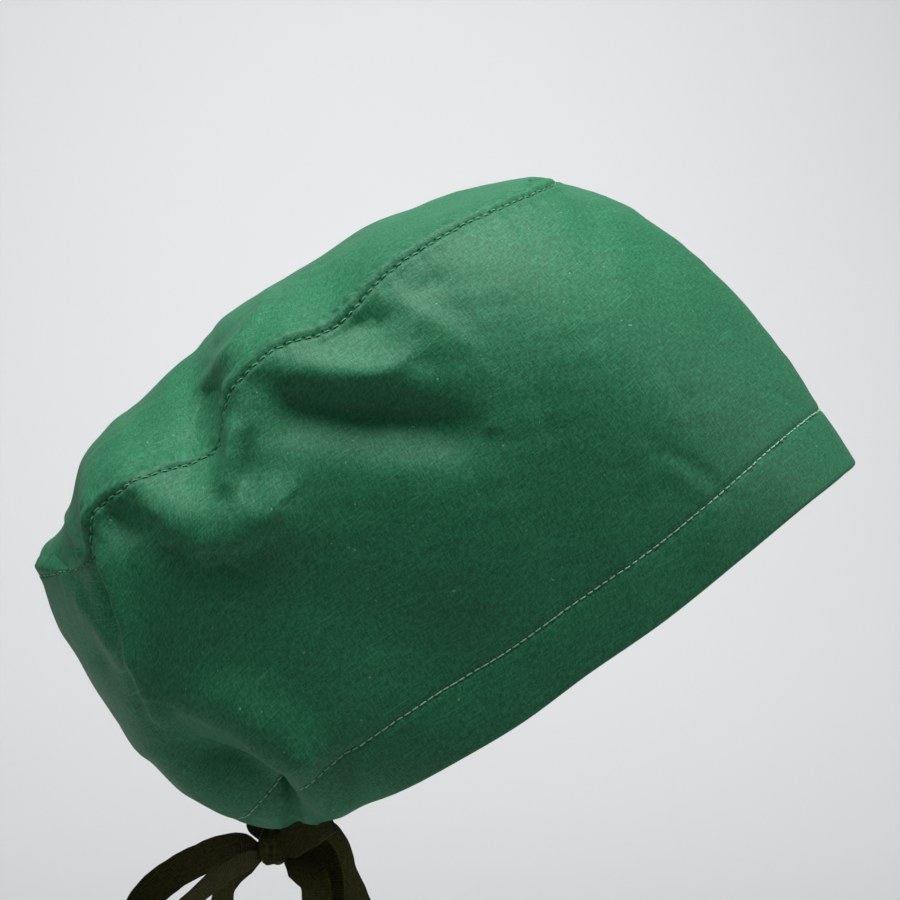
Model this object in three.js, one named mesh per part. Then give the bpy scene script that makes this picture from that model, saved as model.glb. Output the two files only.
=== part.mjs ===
import * as THREE from "three";

// Driving sizes in millimetres: +X to the front, -Y to the wearer's right, +Z up.
// The origin is the middle of the head opening.
const capLength = 292;
const capHeight = 231;
const halfWidth = 82;
const cloth = 1.2;
const hemDepth = 23.5;
const hemPly = 1.1;
const tunnel = 0.9;
const gap = 0.45;
const tapeWidth = 12;
const tapeThick = 1;
const narrow = 0.6;
const knotSize = [9, 12, 11];
const knotCentre = [-107, -6, -72];

// One row per section, from the middle of the forehead round the right side to the nape.
// Guide points are shares of capLength, halfWidth and capHeight.
// rise and lean place the middle line of the crown above and behind the seam.
const sections = [
  {
    hem: [0.362, 0, 0.272], low: [0.281, 0, 0.42],
    high: [0.157, 0, 0.594], seam: [-0.029, 0, 0.707], rise: 0, lean: 0,
  },
  {
    hem: [0.316, 0.4, 0.262], low: [0.23, 0.4, 0.42],
    high: [0.118, 0.37, 0.586], seam: [-0.035, 0.17, 0.703], rise: 0.009, lean: 0,
  },
  {
    hem: [0.244, 0.67, 0.221], low: [0.165, 0.7, 0.387],
    high: [0.063, 0.66, 0.549], seam: [-0.052, 0.35, 0.697], rise: 0.017, lean: -0.003,
  },
  {
    hem: [0.155, 0.84, 0.15], low: [0.082, 0.9, 0.348],
    high: [-0.013, 0.84, 0.52], seam: [-0.11, 0.52, 0.668], rise: 0.029, lean: -0.003,
  },
  {
    hem: [0.063, 0.92, 0.069], low: [-0.003, 0.98, 0.281],
    high: [-0.088, 0.94, 0.471], seam: [-0.173, 0.64, 0.633], rise: 0.042, lean: 0.003,
  },
  {
    hem: [-0.025, 0.94, -0.003], low: [-0.085, 1, 0.205],
    high: [-0.163, 0.98, 0.395], seam: [-0.25, 0.73, 0.574], rise: 0.064, lean: 0.003,
  },
  {
    hem: [-0.104, 0.94, -0.074], low: [-0.164, 1, 0.122],
    high: [-0.236, 0.98, 0.312], seam: [-0.313, 0.79, 0.497], rise: 0.088, lean: 0.003,
  },
  {
    hem: [-0.182, 0.89, -0.135], low: [-0.253, 0.98, 0.052],
    high: [-0.324, 0.96, 0.264], seam: [-0.375, 0.81, 0.465], rise: 0.063, lean: 0.003,
  },
  {
    hem: [-0.234, 0.8, -0.177], low: [-0.319, 0.94, -0.005],
    high: [-0.39, 0.95, 0.223], seam: [-0.432, 0.81, 0.399], rise: 0.068, lean: -0.003,
  },
  {
    hem: [-0.267, 0.71, -0.199], low: [-0.367, 0.88, -0.049],
    high: [-0.437, 0.93, 0.167], seam: [-0.456, 0.79, 0.328], rise: 0.105, lean: -0.014,
  },
  {
    hem: [-0.294, 0.6, -0.22], low: [-0.411, 0.8, -0.088],
    high: [-0.472, 0.9, 0.124], seam: [-0.494, 0.78, 0.294], rise: 0.094, lean: -0.014,
  },
  {
    hem: [-0.317, 0.46, -0.242], low: [-0.455, 0.71, -0.123],
    high: [-0.51, 0.85, 0.081], seam: [-0.542, 0.73, 0.281], rise: 0.058, lean: -0.014,
  },
  {
    hem: [-0.335, 0.33, -0.266], low: [-0.499, 0.56, -0.142],
    high: [-0.547, 0.76, 0.063], seam: [-0.59, 0.65, 0.235], rise: 0.036, lean: 0,
  },
  {
    hem: [-0.349, 0.18, -0.274], low: [-0.515, 0.32, -0.158],
    high: [-0.589, 0.49, 0.035], seam: [-0.616, 0.37, 0.162], rise: 0.025, lean: 0,
  },
  {
    hem: [-0.372, 0, -0.277], low: [-0.526, 0, -0.151],
    high: [-0.603, 0, -0.001], seam: [-0.637, 0, 0.124], rise: 0, lean: 0,
  },
];

// One row per fold: a line in the side view, as shares of capLength and capHeight.
// reach and depth are shares of capLength, and a negative depth is a valley.
// side is 1 for the right side only, -1 for the left only and 0 for both.
const folds = [
  {
    fold: "crest under the seam",
    from: [-0.348, 0.455], to: [-0.243, 0.432], reach: 0.031, depth: 0.01, side: 0,
  },
  {
    fold: "valley under that crest",
    from: [-0.35, 0.396], to: [-0.189, 0.381], reach: 0.034, depth: -0.014, side: 0,
  },
  {
    fold: "swell behind the ear",
    from: [-0.393, 0.356], to: [-0.368, 0.223], reach: 0.055, depth: 0.01, side: 1,
  },
  {
    fold: "crest of the pouch",
    from: [-0.537, 0.25], to: [-0.383, 0.231], reach: 0.03, depth: 0.01, side: 0,
  },
  {
    fold: "pocket in the crown",
    from: [-0.447, 0.394], to: [-0.453, 0.33], reach: 0.027, depth: -0.012, side: 0,
  },
  {
    fold: "short sharp crease",
    from: [-0.423, 0.341], to: [-0.429, 0.276], reach: 0.014, depth: 0.006, side: 1,
  },
  {
    fold: "dip under the seam corner",
    from: [-0.559, 0.225], to: [-0.531, 0.229], reach: 0.027, depth: -0.008, side: 0,
  },
  {
    fold: "hollow low on the side",
    from: [-0.33, 0.111], to: [-0.197, 0.022], reach: 0.075, depth: -0.012, side: 0,
  },
  {
    fold: "gather crest, upper",
    from: [-0.434, -0.03], to: [-0.35, -0.102], reach: 0.03, depth: 0.011, side: 0,
  },
  {
    fold: "gather crest, lower",
    from: [-0.345, -0.119], to: [-0.305, -0.201], reach: 0.02, depth: 0.008, side: 1,
  },
  {
    fold: "gather valley",
    from: [-0.488, -0.103], to: [-0.39, -0.188], reach: 0.03, depth: -0.012, side: 0,
  },
  {
    fold: "gather groove",
    from: [-0.359, -0.189], to: [-0.34, -0.263], reach: 0.014, depth: -0.012, side: 1,
  },
  {
    fold: "pleat, upper",
    from: [-0.584, 0.218], to: [-0.568, 0.154], reach: 0.016, depth: 0.008, side: 0,
  },
  {
    fold: "pleat, middle",
    from: [-0.568, 0.154], to: [-0.539, 0.026], reach: 0.016, depth: 0.009, side: 0,
  },
  {
    fold: "pleat, lower",
    from: [-0.539, 0.026], to: [-0.519, -0.13], reach: 0.018, depth: 0.007, side: 0,
  },
  {
    fold: "hollow behind the pleat",
    from: [-0.605, 0.12], to: [-0.578, 0.02], reach: 0.022, depth: -0.009, side: 0,
  },
  {
    fold: "bulge left of the back seam",
    from: [-0.64, 0.12], to: [-0.62, 0.03], reach: 0.04, depth: 0.018, side: -1,
  },
  {
    fold: "ridge on the front panel",
    from: [0.005, 0.72], to: [0.075, 0.67], reach: 0.02, depth: 0.012, side: -1,
  },
  {
    fold: "crown ridge",
    from: [-0.34, 0.578], to: [-0.426, 0.414], reach: 0.034, depth: 0.008, side: 0,
  },
  {
    fold: "crown hollow",
    from: [-0.451, 0.413], to: [-0.48, 0.299], reach: 0.045, depth: -0.009, side: 0,
  },
];

// Ribbon routes from the knot, in millimetres.
const routes = {
  tie_loop_back: [
    [-112.35, -4.5, -74], [-120, -1, -73], [-131, 5, -78], [-143, 8, -85],
    [-152, 8, -93], [-157, 5, -103], [-156, -2, -111], [-150, -9, -106],
    [-142, -13, -95], [-132, -13, -85], [-121, -10, -78], [-112.35, -7.5, -75],
  ],
  tie_loop_front: [
    [-101.6, -4.5, -73], [-96, -8, -72], [-90, -12, -75], [-88, -14, -83], [-88, -14, -94], [-90, -17, -103],
    [-93, -21, -99], [-93, -23, -89], [-94, -22, -81], [-98, -15, -77], [-101.4, -7.5, -75],
  ],
  tie_tail_back: [
    [-111.7, -2, -75], [-117, 1.5, -79], [-123, 4, -86], [-125, 5, -95],
    [-127, 5, -110], [-128, 5, -126], [-129, 5, -145],
  ],
  tie_tail_front: [
    [-101.2, -1.6, -72], [-96, -3, -69.5], [-89, -5, -67], [-85, -7, -71], [-82, -9, -81],
    [-77, -10, -92], [-73, -10, -103], [-70, -10, -117], [-67, -10, -132],
  ],
  tie_lead_right: [[-105, -13, -71], [-100, -18.5, -67.5], [-95, -27, -63.5], [-90, -37, -58.4]],
  tie_lead_left: [[-108, 0.3, -71], [-109, 6, -71], [-107, 14, -69], [-102, 24, -66]],
};

const last = sections.length - 1;
const around = 2 * last;
const columnsPerSection = 3;
const columns = around * columnsPerSection;
const sideRows = 11;
const crownRows = 12;
const step = 0.02;

const vector = (x, y, z) => new THREE.Vector3(x, y, z);
const mirrored = (p) => vector(p.x, -p.y, p.z);
const fromShares = (s) => vector(s[0] * capLength, -s[1] * halfWidth, s[2] * capHeight);

// Smooth curve through four values a, b, c, d between b and c.
const through = (a, b, c, d, f) =>
  b + 0.5 * f * (c - a + f * (2 * a - 5 * b + 4 * c - d + f * (3 * (b - c) + d - a)));

// A section number t runs on from the nape round the left side, where the rows repeat mirrored.
// The share v runs from 0 at the hem to 1 at the crown seam.
const rowPoint = (key, k) => {
  const n = ((k % around) + around) % around;
  return n <= last ? fromShares(sections[n][key]) : mirrored(fromShares(sections[around - n][key]));
};

const guide = (key, t) => {
  const i = Math.floor(t);
  const p = [-1, 0, 1, 2].map((k) => rowPoint(key, i + k));
  const f = t - i;
  return vector(...["x", "y", "z"].map((c) => through(p[0][c], p[1][c], p[2][c], p[3][c], f)));
};

const rowNumber = (key, t) => {
  const i = Math.floor(t);
  const value = (k) => {
    const n = (((i + k) % around) + around) % around;
    return sections[n <= last ? n : around - n][key];
  };
  return through(value(-1), value(0), value(1), value(2), t - i);
};

// The cloth between hem and seam is the cubic through the four guide points.
const band = (t, v) => {
  const a = v - 1 / 3;
  const b = v - 2 / 3;
  const c = v - 1;
  return guide("hem", t).multiplyScalar(-4.5 * a * b * c)
    .addScaledVector(guide("low", t), 13.5 * v * b * c)
    .addScaledVector(guide("high", t), -13.5 * v * a * c)
    .addScaledVector(guide("seam", t), 4.5 * v * a * b);
};

// The folds' height at a point, by its distance from each fold's line in the side view.
const foldHeight = (p) => {
  const turn = Math.tanh(p.y / 14);
  let height = 0;
  for (const f of folds) {
    const ax = f.from[0] * capLength;
    const az = f.from[1] * capHeight;
    const dx = f.to[0] * capLength - ax;
    const dz = f.to[1] * capHeight - az;
    const along = THREE.MathUtils.clamp(((p.x - ax) * dx + (p.z - az) * dz) / (dx * dx + dz * dz), 0, 1);
    const off = Math.hypot(p.x - ax - along * dx, p.z - az - along * dz) / (f.reach * capLength);
    const share = f.side === 0 ? 0.85 - 0.15 * turn : 0.5 - 0.5 * f.side * turn;
    height += share * f.depth * capLength * Math.exp(-off * off);
  }
  return height;
};

// The outward normal, from small steps in both parameters.
const slopeNormal = (surface, t, v, low, high) => {
  const up = surface(t, Math.min(v + step, high)).sub(surface(t, Math.max(v - step, low)));
  const on = surface(t + step, v).sub(surface(t - step, v));
  return up.cross(on).normalize();
};

const side = (t, v) => {
  const p = band(t, v);
  return p.addScaledVector(slopeNormal(band, t, v, 0, 1), foldHeight(p));
};

// The crown spans from the right seam (w = -1) to the left seam (w = 1) in arched rows.
const seamLine = (t) => side(t, 1);

const crownFrame = (t) => {
  const seam = seamLine(t);
  const along = seamLine(t + step).sub(seamLine(t - step)).normalize();
  const row = THREE.MathUtils.clamp(Math.min(t, around - t), 2.5, last - 1.5);
  const middle = seamLine(t > last ? around - row : row);
  middle.add(vector(rowNumber("lean", row) * capLength, 0, rowNumber("rise", row) * capHeight));
  middle.y = 0;
  const inward = middle.sub(seam);
  inward.addScaledVector(along, -inward.dot(along)).normalize();
  return { seam, inward, up: inward.clone().cross(along).normalize() };
};

// Band and crown share this normal, so that their edges lie face to face.
const seamNormal = (t) => {
  const { up } = crownFrame(t);
  return up.add(slopeNormal(side, t, 1, 0, 1)).normalize();
};

const crownEdge = (t) => {
  const { seam, inward } = crownFrame(t);
  return seam.addScaledVector(inward, gap);
};

const crown = (t, w) => {
  const arch = 1 - w * w;
  const p = crownEdge(t).lerp(crownEdge(around - t), (1 + w) / 2);
  p.x += rowNumber("lean", t) * capLength * arch;
  p.z += rowNumber("rise", t) * capHeight * arch;
  p.z += 2 * foldHeight(p) * Math.abs(w) * arch;
  return p;
};

const solid = (points, faces) => {
  let volume = 0;
  for (const [a, b, c] of faces) {
    volume += points[a].dot(points[b].clone().cross(points[c]));
  }
  const geometry = new THREE.BufferGeometry();
  const numbers = points.flatMap((p) => p.toArray());
  geometry.setAttribute("position", new THREE.Float32BufferAttribute(numbers, 3));
  geometry.setIndex(faces.flatMap(([a, b, c]) => (volume > 0 ? [a, b, c] : [a, c, b])));
  geometry.computeVertexNormals();
  return geometry;
};

// Joins equal loops of points in order; a closed chain has no caps.
const chain = (loops, closed) => {
  const n = loops[0].length;
  const points = loops.flat();
  const faces = [];
  const spans = closed ? loops.length : loops.length - 1;
  for (let i = 0; i < spans; i += 1) {
    const next = (i + 1) % loops.length;
    for (let j = 0; j < n; j += 1) {
      const k = (j + 1) % n;
      faces.push([i * n + j, next * n + j, next * n + k], [i * n + j, next * n + k, i * n + k]);
    }
  }
  for (let j = 1; !closed && j < n - 1; j += 1) {
    const end = (loops.length - 1) * n;
    faces.push([0, j, j + 1], [end, end + j + 1, end + j]);
  }
  return solid(points, faces);
};

// The share v at a height in millimetres above the hem edge, measured on the cloth.
const shareAt = (t, height) => {
  const fine = 1 / 60;
  let v = 0;
  let length = 0;
  let span = band(t, 0).distanceTo(band(t, fine));
  while (length + span < height) {
    length += span;
    v += fine;
    span = band(t, v).distanceTo(band(t, v + fine));
  }
  return v + (fine * (height - length)) / span;
};

const sideBand = () => {
  const loops = [];
  for (let i = 0; i < columns; i += 1) {
    const t = i / columnsPerSection;
    const start = shareAt(t, hemDepth + gap);
    const outer = [];
    const inner = [];
    for (let j = 0; j <= sideRows; j += 1) {
      const v = start + ((1 - start) * j) / sideRows;
      const normal = j === sideRows ? seamNormal(t) : slopeNormal(side, t, v, 0, 1);
      const p = side(t, v);
      outer.push(p);
      inner.unshift(p.clone().addScaledVector(normal, -cloth));
    }
    loops.push([...outer, ...inner]);
  }
  return chain(loops, true);
};

// Section of the casing: height above the hem edge and depth in from the outer face.
const casingDepth = 2 * hemPly + tunnel;
const casingSection = [
  [hemDepth, 0], [hemDepth / 2, 0], [hemPly, 0], [0, 0.3 * casingDepth], [0, 0.7 * casingDepth],
  [hemPly, casingDepth], [hemDepth / 2, casingDepth], [hemDepth, casingDepth],
  [hemDepth, hemPly + tunnel], [hemDepth / 2, hemPly + tunnel], [1.3 * hemPly, hemPly + tunnel],
  [1.3 * hemPly, hemPly], [hemDepth / 2, hemPly], [hemDepth, hemPly],
];

const hemCasing = () => {
  const loops = [];
  for (let i = 0; i < columns; i += 1) {
    const t = i / columnsPerSection;
    loops.push(casingSection.map(([height, depth]) => {
      const v = shareAt(t, height);
      return side(t, v).addScaledVector(slopeNormal(side, t, v, 0, 1), -depth);
    }));
  }
  return chain(loops, true);
};

const crownPanel = () => {
  const points = [];
  const rows = last * columnsPerSection;
  const width = crownRows + 1;
  const faces = [];
  const ends = [0, last];
  const layer = (offset) => {
    const normalAt = (t, w) => {
      if (Math.abs(w) === 1 || ends.includes(t)) {
        return seamNormal(w > 0 ? around - t : t);
      }
      const on = crown(t + step, w).sub(crown(t - step, w));
      const across = crown(t, w + step).sub(crown(t, w - step));
      return across.cross(on).normalize();
    };
    const put = (t, w) => points.push(crown(t, w).addScaledVector(normalAt(t, w), -offset));
    put(0, 0);
    for (let i = 1; i < rows; i += 1) {
      for (let j = 0; j < width; j += 1) {
        put(i / columnsPerSection, (2 * j) / crownRows - 1);
      }
    }
    put(last, 0);
  };
  layer(0);
  const inner = points.length;
  layer(cloth);
  const at = (i, j) => 1 + (i - 1) * width + j;
  const rim = [0];
  for (let i = 1; i < rows; i += 1) {
    rim.push(at(i, 0));
  }
  rim.push(inner - 1);
  for (let i = rows - 1; i > 0; i -= 1) {
    rim.push(at(i, crownRows));
  }
  const both = (a, b, c) => faces.push([a, b, c], [a + inner, c + inner, b + inner]);
  for (let j = 0; j < crownRows; j += 1) {
    both(0, at(1, j + 1), at(1, j));
    both(inner - 1, at(rows - 1, j), at(rows - 1, j + 1));
    for (let i = 1; i < rows - 1; i += 1) {
      both(at(i, j), at(i, j + 1), at(i + 1, j + 1));
      both(at(i, j), at(i + 1, j + 1), at(i + 1, j));
    }
  }
  rim.forEach((a, k) => {
    const b = rim[(k + 1) % rim.length];
    faces.push([a, b, b + inner], [a, b + inner, a + inner]);
  });
  return solid(points, faces);
};

// A flat ribbon along a route, carried without twist; it narrows at its knotted ends.
// Over the length widen it opens from the narrow share to its full width.
const ribbon = (name, steps, knotted, widen, startSpread) => {
  const curve = new THREE.CatmullRomCurve3(routes[name].map((p) => vector(...p)), false, "centripetal");
  const spread = vector(...startSpread);
  const length = curve.getLength();
  const loops = [];
  for (let i = 0; i <= steps; i += 1) {
    const u = i / steps;
    const tangent = curve.getTangentAt(u);
    spread.addScaledVector(tangent, -spread.dot(tangent)).normalize();
    const thick = tangent.clone().cross(spread);
    const centre = curve.getPointAt(u);
    const nearest = length * (knotted === 2 ? Math.min(u, 1 - u) : u);
    const half = (tapeWidth / 2) * Math.min(1, narrow + (1 - narrow) * (nearest / widen));
    const section = [
      [-1, 0.3], [-0.9, 0.5], [0.9, 0.5], [1, 0.3], [1, -0.3], [0.9, -0.5], [-0.9, -0.5], [-1, -0.3],
    ];
    loops.push(section.map(([a, b]) =>
      centre.clone().addScaledVector(spread, a * half).addScaledVector(thick, b * tapeThick)));
  }
  return chain(loops, false);
};

const knot = () => {
  const loops = [];
  const corner = (value) => Math.sign(value) * Math.abs(value) ** 0.55;
  for (let i = 1; i < 12; i += 1) {
    const high = (Math.PI * i) / 12;
    const loop = [];
    for (let j = 0; j < 20; j += 1) {
      const turn = (2 * Math.PI * j) / 20;
      loop.push(vector(
        knotCentre[0] + (knotSize[0] / 2) * corner(Math.cos(turn)) * corner(Math.sin(high)),
        knotCentre[1] + (knotSize[1] / 2) * corner(Math.sin(turn)) * corner(Math.sin(high)),
        knotCentre[2] + (knotSize[2] / 2) * corner(Math.cos(high)),
      ));
    }
    loops.push(loop);
  }
  return chain(loops, false);
};

const green = { color: 0x2a7a52, roughness: 0.85, metalness: 0 };
const black = { color: 0x1c1e14, roughness: 0.8, metalness: 0 };
const group = new THREE.Group();

const add = (name, geometry, look) => {
  const mesh = new THREE.Mesh(geometry, new THREE.MeshStandardMaterial(look));
  mesh.name = name;
  group.add(mesh);
};

add("crown_panel", crownPanel(), green);
add("side_band", sideBand(), green);
add("hem_casing", hemCasing(), green);
add("tie_knot", knot(), black);
add("tie_loop_back", ribbon("tie_loop_back", 30, 2, tapeWidth, [0.2, 0, 1]), black);
add("tie_loop_front", ribbon("tie_loop_front", 28, 2, tapeWidth, [0, 0, 1]), black);
add("tie_tail_back", ribbon("tie_tail_back", 16, 1, tapeWidth, [0, 0, 1]), black);
add("tie_tail_front", ribbon("tie_tail_front", 20, 1, tapeWidth, [0, 0, 1]), black);
add("tie_lead_right", ribbon("tie_lead_right", 8, 1, capLength, [0, 0, 1]), black);
add("tie_lead_left", ribbon("tie_lead_left", 8, 1, capLength, [0, 0, 1]), black);

export default group;
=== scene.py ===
import math

import bpy
import numpy as np
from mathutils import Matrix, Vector


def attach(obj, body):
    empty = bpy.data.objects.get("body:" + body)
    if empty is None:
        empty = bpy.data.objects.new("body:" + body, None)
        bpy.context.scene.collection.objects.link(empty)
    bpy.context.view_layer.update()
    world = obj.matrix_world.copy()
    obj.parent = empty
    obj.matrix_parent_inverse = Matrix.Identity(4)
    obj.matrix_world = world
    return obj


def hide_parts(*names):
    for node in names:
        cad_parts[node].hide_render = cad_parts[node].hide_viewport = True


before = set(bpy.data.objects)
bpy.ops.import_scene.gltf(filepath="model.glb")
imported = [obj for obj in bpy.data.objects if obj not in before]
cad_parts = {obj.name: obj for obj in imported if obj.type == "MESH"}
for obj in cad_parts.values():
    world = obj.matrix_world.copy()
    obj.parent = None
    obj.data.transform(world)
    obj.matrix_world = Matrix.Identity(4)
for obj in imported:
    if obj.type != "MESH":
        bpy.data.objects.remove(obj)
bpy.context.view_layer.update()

bl_info = {
    "name": "Scrub Cap",
    "version": (1, 0, 0),
    "blender": (4, 5, 0),
    "location": "3D View > Sidebar > Cap",
    "description": "Makes a worn cloth scrub cap with its seams, stitches and ribbon bow",
    "category": "Add Mesh",
}

# One row per section from the middle of the forehead round the right side to the nape.
# Each guide point is a share of length, half width and height.
# rise and lean place the middle line of the crown above and behind the seam.
# Columns: hem, low, high, seam, rise, lean
SECTIONS = [
    ((0.362, 0, 0.272), (0.281, 0, 0.42), (0.157, 0, 0.594), (-0.029, 0, 0.707), 0, 0),
    ((0.316, 0.4, 0.262), (0.23, 0.4, 0.42), (0.118, 0.37, 0.586), (-0.035, 0.17, 0.703), 0.009, 0),
    ((0.244, 0.67, 0.221), (0.165, 0.7, 0.387), (0.063, 0.66, 0.549), (-0.052, 0.35, 0.697), 0.017, -0.003),
    ((0.155, 0.84, 0.15), (0.082, 0.9, 0.348), (-0.013, 0.84, 0.52), (-0.11, 0.52, 0.668), 0.029, -0.003),
    ((0.063, 0.92, 0.069), (-0.003, 0.98, 0.281), (-0.088, 0.94, 0.471), (-0.173, 0.64, 0.633), 0.042, 0.003),
    ((-0.025, 0.94, -0.003), (-0.085, 1, 0.205), (-0.163, 0.98, 0.395), (-0.25, 0.73, 0.574), 0.064, 0.003),
    ((-0.104, 0.94, -0.074), (-0.164, 1, 0.122), (-0.236, 0.98, 0.312), (-0.313, 0.79, 0.497), 0.088, 0.003),
    ((-0.182, 0.89, -0.135), (-0.253, 0.98, 0.052), (-0.324, 0.96, 0.264), (-0.375, 0.81, 0.465), 0.069, 0.003),
    ((-0.234, 0.8, -0.177), (-0.319, 0.94, -0.005), (-0.39, 0.95, 0.223), (-0.432, 0.81, 0.399), 0.09, -0.002),
    ((-0.267, 0.71, -0.199), (-0.367, 0.88, -0.049), (-0.437, 0.93, 0.167), (-0.456, 0.79, 0.328), 0.127, -0.014),
    ((-0.294, 0.6, -0.22), (-0.411, 0.8, -0.088), (-0.472, 0.9, 0.124), (-0.512, 0.78, 0.292), 0.08, -0.013),
    ((-0.317, 0.46, -0.242), (-0.455, 0.71, -0.123), (-0.51, 0.85, 0.081), (-0.581, 0.738, 0.237), 0.067, 0.003),
    ((-0.335, 0.33, -0.266), (-0.499, 0.56, -0.142), (-0.547, 0.76, 0.063), (-0.577, 0.634, 0.162), 0.051, -0.021),
    ((-0.349, 0.18, -0.274), (-0.515, 0.32, -0.158), (-0.589, 0.49, 0.035), (-0.609, 0.366, 0.136), 0.027, -0.017),
    ((-0.372, 0, -0.277), (-0.526, 0, -0.151), (-0.603, 0, -0.001), (-0.637, 0, 0.124), 0, 0),
]
LAST = len(SECTIONS) - 1
AROUND = 2 * LAST

# Folds: a line in the side view in shares of length and height, then the reach on the upper or
# front side of the line, the reach on its other side and the depth, as shares of length.
# side is 1 for the right side only, -1 for the left only and 0 for both, at 0.7 on the left.
# Columns: from x, from z, to x, to z, reach, other reach, depth, side
MAIN_FOLDS = [
    (-0.348, 0.433, -0.243, 0.412, 0.031, 0.031, 0.01, 0),
    (-0.35, 0.37, -0.189, 0.345, 0.034, 0.036, -0.014, 0),
    (-0.393, 0.356, -0.368, 0.223, 0.055, 0.055, 0.01, 1),
    (-0.537, 0.25, -0.383, 0.231, 0.03, 0.03, 0.01, 0),
    (-0.447, 0.394, -0.453, 0.33, 0.027, 0.027, -0.012, 0),
    (-0.423, 0.341, -0.429, 0.276, 0.014, 0.014, 0.006, 1),
    (-0.559, 0.225, -0.531, 0.229, 0.027, 0.027, -0.008, 0),
    (-0.33, 0.111, -0.197, 0.022, 0.075, 0.075, -0.012, 0),
    (-0.434, -0.03, -0.35, -0.102, 0.03, 0.03, 0.011, 0),
    (-0.345, -0.119, -0.305, -0.201, 0.02, 0.02, 0.008, 1),
    (-0.488, -0.103, -0.39, -0.188, 0.03, 0.03, -0.012, 0),
    (-0.359, -0.189, -0.34, -0.263, 0.014, 0.014, -0.012, 1),
    (-0.584, 0.218, -0.568, 0.154, 0.016, 0.016, 0.008, 0),
    (-0.568, 0.154, -0.539, 0.026, 0.016, 0.016, 0.009, 0),
    (-0.539, 0.026, -0.519, -0.13, 0.018, 0.018, 0.007, 0),
    (-0.605, 0.12, -0.578, 0.02, 0.022, 0.022, -0.009, 0),
    (-0.64, 0.12, -0.62, 0.03, 0.04, 0.04, 0.018, -1),
    (0.005, 0.72, 0.075, 0.67, 0.02, 0.02, 0.012, -1),
    (-0.34, 0.578, -0.426, 0.414, 0.034, 0.034, 0.008, 0),
    (-0.451, 0.413, -0.48, 0.299, 0.045, 0.045, -0.009, 0),
]

# Creases of the right side: a broken line in the side view in shares of length and height, then
# the reach on the left of its direction, the reach on its right and the depth, as shares of length.
# Columns: line, reach, other reach, depth
BAND_CREASES = [
    (
        (
            (-0.391, 0.431), (-0.35, 0.417), (-0.306, 0.409), (-0.267, 0.415), (-0.239, 0.434),
            (-0.227, 0.461),
        ),
        0.026, 0.013, 0.013,
    ),
    (((-0.33, 0.39), (-0.272, 0.383), (-0.205, 0.368), (-0.164, 0.354)), 0.014, 0.036, -0.01),
    (((-0.289, 0.49), (-0.246, 0.502)), 0.013, 0.013, -0.008),
    (((-0.245, 0.527), (-0.203, 0.496), (-0.161, 0.455)), 0.016, 0.03, 0.006),
    (((-0.219, 0.539), (-0.184, 0.564)), 0.011, 0.011, -0.0035),
    (((-0.424, 0.35), (-0.428, 0.312), (-0.433, 0.266)), 0.006, 0.012, 0.006),
    (((-0.407, 0.333), (-0.413, 0.262)), 0.01, 0.006, -0.006),
    (
        ((-0.527, 0.249), (-0.498, 0.219), (-0.459, 0.189), (-0.417, 0.194), (-0.38, 0.234)),
        0.034, 0.012, 0.019,
    ),
    (((-0.565, 0.235), (-0.546, 0.221), (-0.526, 0.19)), 0.014, 0.02, -0.008),
    (
        (
            (-0.571, 0.228), (-0.561, 0.178), (-0.551, 0.128), (-0.538, 0.077), (-0.527, 0.022),
            (-0.516, -0.034), (-0.508, -0.071),
        ),
        0.014, 0.005, 0.013,
    ),
    (((-0.568, 0.163), (-0.558, 0.11), (-0.548, 0.053)), 0.006, 0.014, -0.024),
    (((-0.62, 0.127), (-0.598, 0.086), (-0.572, 0.042), (-0.556, 0.015)), 0.01, 0.012, 0.006),
    (((-0.477, -0.049), (-0.417, -0.077), (-0.367, -0.127), (-0.34, -0.208)), 0.045, 0.012, 0.017),
    (((-0.472, -0.123), (-0.415, -0.145), (-0.375, -0.184)), 0.014, 0.03, -0.026),
    (((-0.369, -0.143), (-0.362, -0.188), (-0.351, -0.234)), 0.008, 0.006, -0.02),
    (((-0.349, -0.196), (-0.336, -0.255)), 0.01, 0.007, 0.015),
    (((-0.3, -0.11), (-0.293, -0.186)), 0.009, 0.008, -0.006),
    (((-0.28, -0.12), (-0.262, -0.182)), 0.01, 0.01, 0.003),
    (((0.042, 0.33), (0.095, 0.293), (0.159, 0.236)), 0.008, 0.011, -0.0016),
    (((0.036, 0.304), (0.092, 0.265), (0.148, 0.213)), 0.008, 0.011, 0.001),
    (((0.214, 0.392), (0.274, 0.354)), 0.006, 0.006, -0.0015),
    (((-0.106, 0.486), (-0.063, 0.359), (-0.017, 0.244)), 0.03, 0.03, -0.0016),
    (((-0.007, 0.527), (0.032, 0.414), (0.091, 0.328)), 0.02, 0.03, 0.0012),
]
CROWN_CREASES = [
    (
        ((-0.37, 0.54), (-0.392, 0.501), (-0.431, 0.434), (-0.451, 0.396), (-0.458, 0.36)),
        0.006, 0.007, 0.008,
    ),
    (((-0.447, 0.435), (-0.406, 0.464)), 0.007, 0.007, 0.002),
    (((-0.57, 0.274), (-0.512, 0.327), (-0.464, 0.344)), 0.008, 0.008, 0.003),
    (((-0.317, 0.58), (-0.271, 0.582), (-0.231, 0.599)), 0.02, 0.02, 0.003),
    (((-0.446, 0.386), (-0.452, 0.357), (-0.451, 0.331)), 0.009, 0.007, -0.02),
    (((-0.609, 0.182), (-0.593, 0.234), (-0.574, 0.296), (-0.555, 0.33)), 0.03, 0.02, 0.006),
]

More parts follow.
